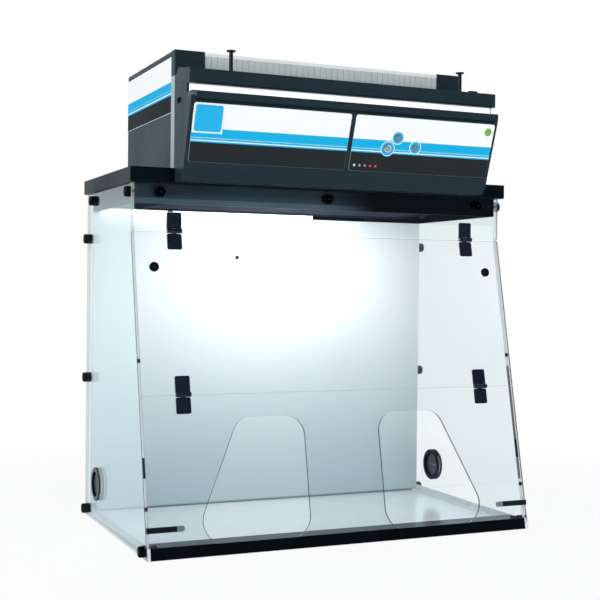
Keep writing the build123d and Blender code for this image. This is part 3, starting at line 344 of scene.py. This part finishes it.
def pleated(name, color, dark, pitch, axis=(1, 0, 0)):
    """Pleated paper media: fine folds across an axis with painted shade in their valleys, and fibre grain."""
    g = Graph(name)
    phase = g.calc("SINE", g.calc("MULTIPLY", g.along(axis), 2 * math.pi / pitch))
    fold = g.calc("MULTIPLY_ADD", phase, 0.5, 0.5)
    fibre = g.noise(900.0, 4.0, stretch=(1, 1, 0.3))
    # Painted shade: each fold darker in its valley.
    tone = g.blend(g.fade(fold, 0.0, 1.0, 0.0, 0.8), dark, color)
    tone = g.blend(g.fade(fibre, 0.3, 0.7, 0.0, 0.35), tone, dark)
    height = g.calc("ADD", fold, g.calc("MULTIPLY", fibre, 0.4))
    return g.output(g.surface({
        "Base Color": tone, "Roughness": 0.9, "Specular IOR Level": 0.2,
        "Normal": g.bump(height, pitch * 0.2)}))


def granules(name, color, scale):
    """Bed of small granules with painted shade: each paler in its middle and darker towards the gaps between
    them.
    """
    g = Graph(name)
    cell = g.put("TexVoronoi", {"Vector": g.place, "Scale": scale}).outputs["Distance"]
    # Painted shade: darker towards the gaps between granules.
    tone = g.blend(g.fade(cell, 0.1, 0.6), shade(color, 1.6), shade(color, 0.5))
    return g.output(g.surface({
        "Base Color": tone, "Roughness": 0.7, "Specular IOR Level": 0.3,
        "Normal": g.bump(cell, 0.4 / scale)}))


def brushed(name, color, rough, stretch=(0.2, 8, 8)):
    """Metal with fine grain along X."""
    g = Graph(name)
    grain = g.noise(300.0, 3.0, stretch=stretch)
    tone = g.blend(g.fade(grain, 0.3, 0.7), shade(color, 0.88), shade(color, 1.05))
    return g.output(g.surface({
        "Base Color": tone, "Metallic": 1.0, "Roughness": g.fade(grain, 0.2, 0.8, rough * 0.8, rough * 1.25),
        "Normal": g.bump(grain, 0.00003)}))


def glowing(name, color, strength):
    """Opal cover that glows a little unevenly."""
    g = Graph(name)
    cloud = g.fade(g.noise(12.0), 0.3, 0.7, 0.94, 1.0)
    tone = g.blend(cloud, shade(color, 0.9), color)
    return g.output(g.surface({
        "Base Color": tone, "Roughness": 0.4, "Emission Color": color, "Emission Strength": strength}))


def lens(name, color, strength=0.0):
    """Small glossy lens with a fine cell pattern."""
    g = Graph(name)
    cell = g.put("TexVoronoi", {"Vector": g.place, "Scale": 900.0}).outputs["Distance"]
    tone = g.blend(g.fade(cell, 0.1, 0.7), shade(color, 1.12), shade(color, 0.8))
    return g.output(g.surface({
        "Base Color": tone, "Roughness": 0.15, "Coat Weight": 0.6, "Coat Roughness": 0.05,
        "Emission Color": color, "Emission Strength": strength, "Normal": g.bump(cell, 0.0001)}))


def status_colors():
    """Row of small lenses, each with its own colour by place."""
    g = Graph("status_colors")
    across = g.along((1, 0, 0))
    tone = srgb(232, 232, 232)
    for edge, color in ((0.029, srgb(165, 168, 170)), (0.0435, srgb(185, 120, 122)),
                        (0.0575, srgb(196, 60, 66)), (0.0715, srgb(232, 46, 52))):
        tone = g.blend(g.calc("GREATER_THAN", across, edge), tone, color)
    fine = g.noise(900.0, 2.0)
    return g.output(g.surface({
        "Base Color": tone, "Roughness": 0.2, "Coat Weight": 0.5, "Coat Roughness": 0.05,
        "Normal": g.bump(fine, 0.00003)}))


def button_face(name, x, height, r, disc, ring, core):
    """Button: grey disc, paler ring and a darker middle, by distance from its axis, with a painted shadow of
    its recess on the upper left.
    """
    g = Graph(name)
    up = g.up_label(height)
    across = g.along((1, 0, 0), x)
    far = g.reach(across, up)
    tone = g.blend(g.fade(far, r * 0.90, r * 0.97), ring, srgb(30, 34, 38))
    tone = g.blend(g.fade(far, r * 0.60, r * 0.66, 1.0, 0.0), tone, disc)
    tone = g.blend(g.fade(far, r * 0.20, r * 0.26, 1.0, 0.0), tone, core)
    # Painted shadow: a dark crescent on the upper left, where the recess shades the button.
    shadow = g.fade(g.calc("SUBTRACT", up, across), r * 0.5, r * 1.2, 0.0, 0.7)
    tone = g.blend(shadow, tone, srgb(40, 44, 48))
    return g.output(g.surface({
        "Base Color": tone, "Roughness": g.fade(g.noise(500.0), 0.3, 0.7, 0.28, 0.38),
        "Normal": g.bump(g.noise(900.0), 0.00003)}))


materials = {
    "white_gloss": coated(
        "white_gloss", srgb(240, 247, 248), 0.16, spread=0.015, grain=500, depth=0.00001, coat=0.3),
    "rear_white": rear_sheet(),
    "pale_rail": coated("pale_rail", srgb(205, 214, 216), 0.25, spread=0.03, depth=0.00002),
    "black_gloss": coated("black_gloss", srgb(2, 4, 10), 0.20, spread=0.2, depth=0.00001, specular=0.22),
    "black_plastic": coated("black_plastic", srgb(8, 12, 18), 0.40, spread=0.12, specular=0.35),
    "hinge_black": coated("hinge_black", srgb(12, 22, 38), 0.30, spread=0.12, grain=1500, specular=0.35),
    "grey_plastic": coated("grey_plastic", srgb(110, 122, 128), 0.35, spread=0.08),
    "slate_paint": coated("slate_paint", SLATE, 0.36, spread=0.07, grain=1500, specular=0.12),
    "tab_paint": tab_paint(srgb(74, 92, 100)),
    "collar_paint": collar_paint(),
    # Top plate in a much darker copy of the slate paint: painted shade under the overhanging fascia.
    "slab_painted_shade": coated("slab_painted_shade", srgb(5, 16, 23), 0.34, spread=0.08, grain=1500, specular=0.05),
    "case_paint": coated("case_paint", srgb(34, 50, 58), 0.40, spread=0.05, grain=1500, specular=0.12),
    "post_grey": coated("post_grey", srgb(172, 184, 184), 0.42, spread=0.04, grain=1500, specular=0.2),
    "label_print": label_print(),
    "side_print": side_print(),
    "badge_blue": coated("badge_blue", srgb(14, 180, 232), 0.30, spread=0.03, depth=0.00002, specular=0.3),
    "lens_green": lens("lens_green", srgb(114, 184, 60)),
    "lens_small": status_colors(),
    "strip_white": glowing("strip_white", srgb(250, 251, 251), 0.55),
    "exhaust_media": exhaust_media(),
    "carbon": granules("carbon", srgb(38, 39, 41), 300.0),
    "mat_blue": pleated("mat_blue", srgb(26, 42, 66), srgb(10, 18, 34), 0.006, (0, 1, 0)),
    "steel_clip": brushed("steel_clip", srgb(226, 230, 233), 0.20),
    "pin_steel": brushed("pin_steel", srgb(150, 154, 158), 0.30),
    "galvanised": coated("galvanised", srgb(150, 158, 162), 0.45, spread=0.1, grain=200, metallic=0.6),
    "rubber_black": coated("rubber_black", srgb(14, 17, 22), 0.65, spread=0.12, grain=1200, depth=0.00008),
    "membrane": coated("membrane", srgb(60, 66, 75), 0.45, spread=0.10, grain=900, depth=0.0001),
    "lamp_white": glowing("lamp_white", srgb(250, 252, 252), 1.0),
    "board_green": coated("board_green", srgb(30, 78, 52), 0.35, spread=0.1),
    "knob_gloss": knob_gloss(),
}
CLEAR = srgb(251, 254, 254)
PANEL = srgb(251, 252, 253)
# Tones of the sheets' cut edges: painted light and shade on edges that are denser than the faces.
PALE_CUT, GREY_CUT, DARK_CUT = srgb(238, 243, 240), srgb(186, 198, 198), srgb(52, 68, 76)
panel_mid = -HINGE_Y * math.cos(LEAN) + HINGE_Z * math.sin(LEAN) - FRONT_T / 2
side_edges = (GREY_CUT, PALE_CUT, PALE_CUT)
front_edges = (DARK_CUT, DARK_CUT, PALE_CUT)
edge_seal = (0.118, 0.400, srgb(8, 12, 22))
materials["left_clear"] = acrylic("left_clear", (1, 0, 0), -SIDE_MID, SIDE_T, CLEAR, side_edges)
materials["right_clear"] = acrylic("right_clear", (1, 0, 0), SIDE_MID, SIDE_T, CLEAR, side_edges, edge_seal)
materials["strip_clear"] = acrylic(
    "strip_clear", (0, 1, 0), HINGE_Y + FRONT_T / 2, FRONT_T, CLEAR, (GREY_CUT, GREY_CUT, PALE_CUT))
materials["front_clear"] = acrylic("front_clear", FRONT_OUT, panel_mid, FRONT_T, PANEL, front_edges)

DRESS = {
    "worktop": "white_gloss", "side_rails": "pale_rail", "front_sill": "black_gloss",
    "side_panel_left": "left_clear", "side_panel_right": "right_clear", "rear_panel": "rear_white",
    "rear_port_plug": "black_plastic", "front_top_strip": "strip_clear", "middle_panel": "front_clear",
    "lower_panel": "front_clear", "upper_hinge_fixed_leaves": "hinge_black",
    "upper_hinge_swing_leaves": "hinge_black", "upper_hinge_pins": "pin_steel",
    "fold_hinge_upper_leaves": "hinge_black", "fold_hinge_lower_leaves": "hinge_black",
    "fold_hinge_pins": "pin_steel", "magnet_knobs": "knob_gloss", "catch_bars": "black_plastic",
    "catch_tips": "grey_plastic", "cable_grommets": "black_gloss", "grommet_membranes": "membrane",
    "edge_buffers": "rubber_black", "edge_magnets": "black_plastic", "collar_screws": "black_plastic",
    "edge_screws": "black_plastic", "rear_nut_posts": "black_plastic", "top_plate": "slab_painted_shade",
    "collar_frame": "collar_paint", "prefilter_frame": "mat_blue", "prefilter_mat": "mat_blue",
    "prefilter_clips": "steel_clip", "lamp_housing": "lamp_white", "lamp_diffuser": "lamp_white",
    "filter_case": "case_paint", "side_skins": "side_print", "top_frame": "slate_paint",
    "corner_posts": "post_grey", "carbon_filter": "carbon", "fan_deck": "galvanised",
    "fan_motor": "black_plastic", "fan_rotor": "black_plastic", "exhaust_filter": "exhaust_media",
    "power_inlet": "black_plastic", "fascia_housing": "slate_paint", "end_cap_left": "tab_paint",
    "end_cap_right": "slate_paint", "lower_bar": "slate_paint", "status_strip": "strip_white",
    "top_bar": "slate_paint", "label_plate_left": "label_print", "label_plate_right": "label_print",
    "badge_plate": "badge_blue", "green_lens": "lens_green", "status_lenses": "lens_small",
    "circuit_board": "board_green", "pull_pin_left": "black_plastic", "pull_pin_right": "black_plastic",
}
for name, (x, height, r) in BUTTONS.items():
    grey = srgb(128, 134, 138)
    if name == "power_button":
        made = button_face(name, x, height, r, srgb(130, 140, 146), srgb(190, 208, 216), srgb(178, 190, 196))
    else:
        made = button_face(name, x, height, r, grey, grey, grey)
    materials[name] = made
    DRESS[name] = name

for name, made in DRESS.items():
    slots = nodes[name].data.materials
    slots.clear()
    slots.append(materials[made])


def solid_boxes(node):
    """Low and high corners of each separate solid in a node's mesh."""
    bm = bmesh.new()
    bm.from_mesh(nodes[node].data)
    left = set(bm.verts)
    boxes = []
    while left:
        patch = {left.pop()}
        edge = set(patch)
        while edge:
            edge = {e.other_vert(v) for v in edge for e in v.link_edges} - patch
            patch |= edge
        left -= patch
        spots = [v.co for v in patch]
        boxes.append((Vector([min(p[i] for p in spots) for i in range(3)]),
                      Vector([max(p[i] for p in spots) for i in range(3)])))
    bm.free()
    return boxes


def knurled_profile(length):
    """Rings of a thumb screw along its axis: place, radius and depth of the knurl."""
    dish, edge = HEAD_R * 0.45, 0.0012
    return [
        (-length, 0.0, 0), (-length, STUD_R, 0), (0, STUD_R, 0), (0, HEAD_R - edge, 0), (edge, HEAD_R, 1),
        (HEAD_L - edge * 1.6, HEAD_R, 1), (HEAD_L - edge * 0.5, HEAD_R - edge * 0.6, 0),
        (HEAD_L, HEAD_R - edge * 1.8, 0),
        (HEAD_L, dish, 0), (HEAD_L - edge, dish * 0.8, 0), (HEAD_L - edge, 0.0, 0),
    ]


def add_screw(bm, seat, out, length, flutes=26):
    """One knurled thumb screw, its head seated at a point and facing outwards."""
    turn = out.to_track_quat("Z", "Y").to_matrix().to_4x4()
    place = Matrix.Translation(seat) @ turn
    steps = flutes * 2
    rings = []
    for along, radius, knurl in knurled_profile(length):
        if radius == 0:
            rings.append([bm.verts.new(place @ Vector((0, 0, along)))])
            continue
        ring = []
        for i in range(steps):
            r = radius - knurl * (i % 2) * 0.0005
            angle = 2 * math.pi * i / steps
            ring.append(bm.verts.new(place @ Vector((r * math.cos(angle), r * math.sin(angle), along))))
        rings.append(ring)
    for low, high in zip(rings, rings[1:]):
        for i in range(steps):
            j = (i + 1) % steps
            if len(low) == 1:
                bm.faces.new((low[0], high[j], high[i]))
            elif len(high) == 1:
                bm.faces.new((low[i], low[j], high[0]))
            else:
                bm.faces.new((low[i], low[j], high[j], high[i]))


def knurled_screws(node):
    """Knurled screws in the places of a node's plain ones."""
    bm = bmesh.new()
    for low, high in solid_boxes(node):
        mid = (low + high) / 2
        if abs(mid.x) > SIDE_MID - 0.02:
            out = Vector((math.copysign(1, mid.x), 0, 0))
            end = Vector((high.x if mid.x > 0 else low.x, mid.y, mid.z))
            length = high.x - low.x - HEAD_L
        else:
            out = Vector((0, -1, 0))
            end = Vector((mid.x, low.y, mid.z))
            length = high.y - low.y - HEAD_L
        add_screw(bm, end - out * HEAD_L, out, length)
    bmesh.ops.recalc_face_normals(bm, faces=bm.faces)
    mesh = bpy.data.meshes.new("knurled_" + node)
    bm.to_mesh(mesh)
    bm.free()
    mesh.materials.append(materials["screw_black"])
    obj = bpy.data.objects.new("knurled_" + node, mesh)
    bpy.context.collection.objects.link(obj)
    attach(obj, "hood")
    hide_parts(node)


materials["screw_black"] = coated("screw_black", srgb(12, 16, 22), 0.34, spread=0.1, specular=0.4)
knurled_screws("collar_screws")
knurled_screws("edge_screws")


def place_camera():
    """Camera solved from the photograph: position, direction, lens and framing."""
    photo_px, focal_px, middle_px = 600, 1164.071, (-1.87, -2.66)
    yaw, pitch, roll = 0.4135, -0.0083, 0.0102
    ahead = Vector((math.sin(yaw) * math.cos(pitch), math.cos(yaw) * math.cos(pitch), math.sin(pitch)))
    right = Vector((math.cos(yaw), -math.sin(yaw), 0))
    up = right.cross(ahead)
    r = right * math.cos(roll) + up * math.sin(roll)
    u = up * math.cos(roll) - right * math.sin(roll)
    data = bpy.data.cameras.new("camera")
    data.sensor_width = 36.0
    data.lens = data.sensor_width * focal_px / photo_px
    data.shift_x = middle_px[0] / photo_px
    data.shift_y = middle_px[1] / photo_px
    data.clip_end = 100.0
    camera = bpy.data.objects.new("camera", data)
    basis = Matrix((r, u, -ahead)).transposed().to_4x4()
    camera.matrix_world = Matrix.Translation((-1.20704, -2.73895, 0.59992)) @ basis
    bpy.context.collection.objects.link(camera)
    bpy.context.scene.camera = camera


def area_light(name, place, target, size, power, color=(1, 1, 1), glossy=True):
    """Rectangular lamp turned towards a point."""
    data = bpy.data.lights.new(name, "AREA")
    data.shape = "RECTANGLE"
    data.size, data.size_y = size
    data.energy = power
    data.color = color
    lamp = bpy.data.objects.new(name, data)
    lamp.location = place
    lamp.rotation_euler = (Vector(target) - Vector(place)).to_track_quat("-Z", "Y").to_euler()
    lamp.visible_camera = False
    lamp.visible_glossy = glossy
    bpy.context.collection.objects.link(lamp)


def set_world():
    """White surroundings as seen, softer as light."""
    world = bpy.data.worlds.new("studio")
    bpy.context.scene.world = world
    g = Graph("studio", world)
    path = g.put("LightPath")
    seen = g.calc("MAXIMUM", path.outputs["Is Camera Ray"], path.outputs["Is Transmission Ray"])
    way = g.put("VectorMath", {0: g.coords.outputs["Generated"], 1: (0, 1, 0)}, operation="DOT_PRODUCT")
    ahead = g.fade(way.outputs["Value"], -0.75, -0.35)
    room = g.blend(ahead, (0.10, 0.13, 0.16, 1), (0.74, 0.86, 0.93, 1))
    mirror = g.put("Background", {"Color": room}).outputs[0]
    soft = g.put("Background", {"Color": (0.50, 0.53, 0.55, 1)}).outputs[0]
    white = g.put("Background", {"Color": (1, 1, 1, 1)}).outputs[0]
    unseen = g.put("MixShader", {0: path.outputs["Is Glossy Ray"], 1: soft, 2: mirror}).outputs[0]
    g.output(g.put("MixShader", {0: seen, 1: unseen, 2: white}).outputs[0], "OutputWorld")


def make_floor():
    """Pale floor that fades into the white surroundings and keeps the shadow."""
    mesh = bpy.data.meshes.new("floor")
    bm = bmesh.new()
    bmesh.ops.create_grid(bm, x_segments=8, y_segments=8, size=6.0)
    bm.to_mesh(mesh)
    bm.free()
    floor = bpy.data.objects.new("floor", mesh)
    floor.location = (0, 0, -0.0005)
    bpy.context.collection.objects.link(floor)
    g = Graph("floor")
    plain = g.put("BsdfDiffuse", {"Color": (0.86, 0.88, 0.89, 1)}).outputs[0]
    path = g.put("LightPath")
    light = g.blend(path.outputs["Is Glossy Ray"], (1, 1, 1, 1), (0.74, 0.86, 0.93, 1))
    glow = g.put("Emission", {"Color": light, "Strength": 1.0}).outputs[0]
    away = g.put("VectorMath", {0: g.place}, operation="LENGTH").outputs["Value"]
    seen = g.calc("MAXIMUM", path.outputs["Is Camera Ray"], path.outputs["Is Glossy Ray"])
    share = g.calc("MULTIPLY", seen, g.fade(away, 0.8, 2.0, 0.88, 1.0))
    mesh.materials.append(g.output(g.put("MixShader", {0: share, 1: plain, 2: glow}).outputs[0]))


def studio():
    """Soft light from the left, a fill from the front and the hood's own lamp."""
    area_light("key", (-3.2, -0.8, 1.8), (0, 0, 0.7), (2.6, 2.2), 42)
    area_light("fill", (0.6, -3.6, 1.2), (0, 0, 0.7), (2.4, 2.0), 40, glossy=False)
    area_light("top", (0, 0.4, 3.4), (0, 0, 0.8), (2.0, 2.0), 16)
    area_light("hood_lamp", (0.03, 0.04, 0.784), (0.03, 0.264, 0.55), (0.26, 0.12), 2.1, glossy=False)
    area_light("hood_wash", (0.0, 0.06, 0.782), (0.0, 0.264, 0.60), (0.92, 0.10), 0.5, glossy=False)
    area_light("right_fill", (3.0, -1.2, 1.4), (0.2, 0, 0.3), (1.8, 1.8), 4, glossy=False)


place_camera()
set_world()
make_floor()
studio()
bpy.context.scene.view_settings.view_transform = "Standard"
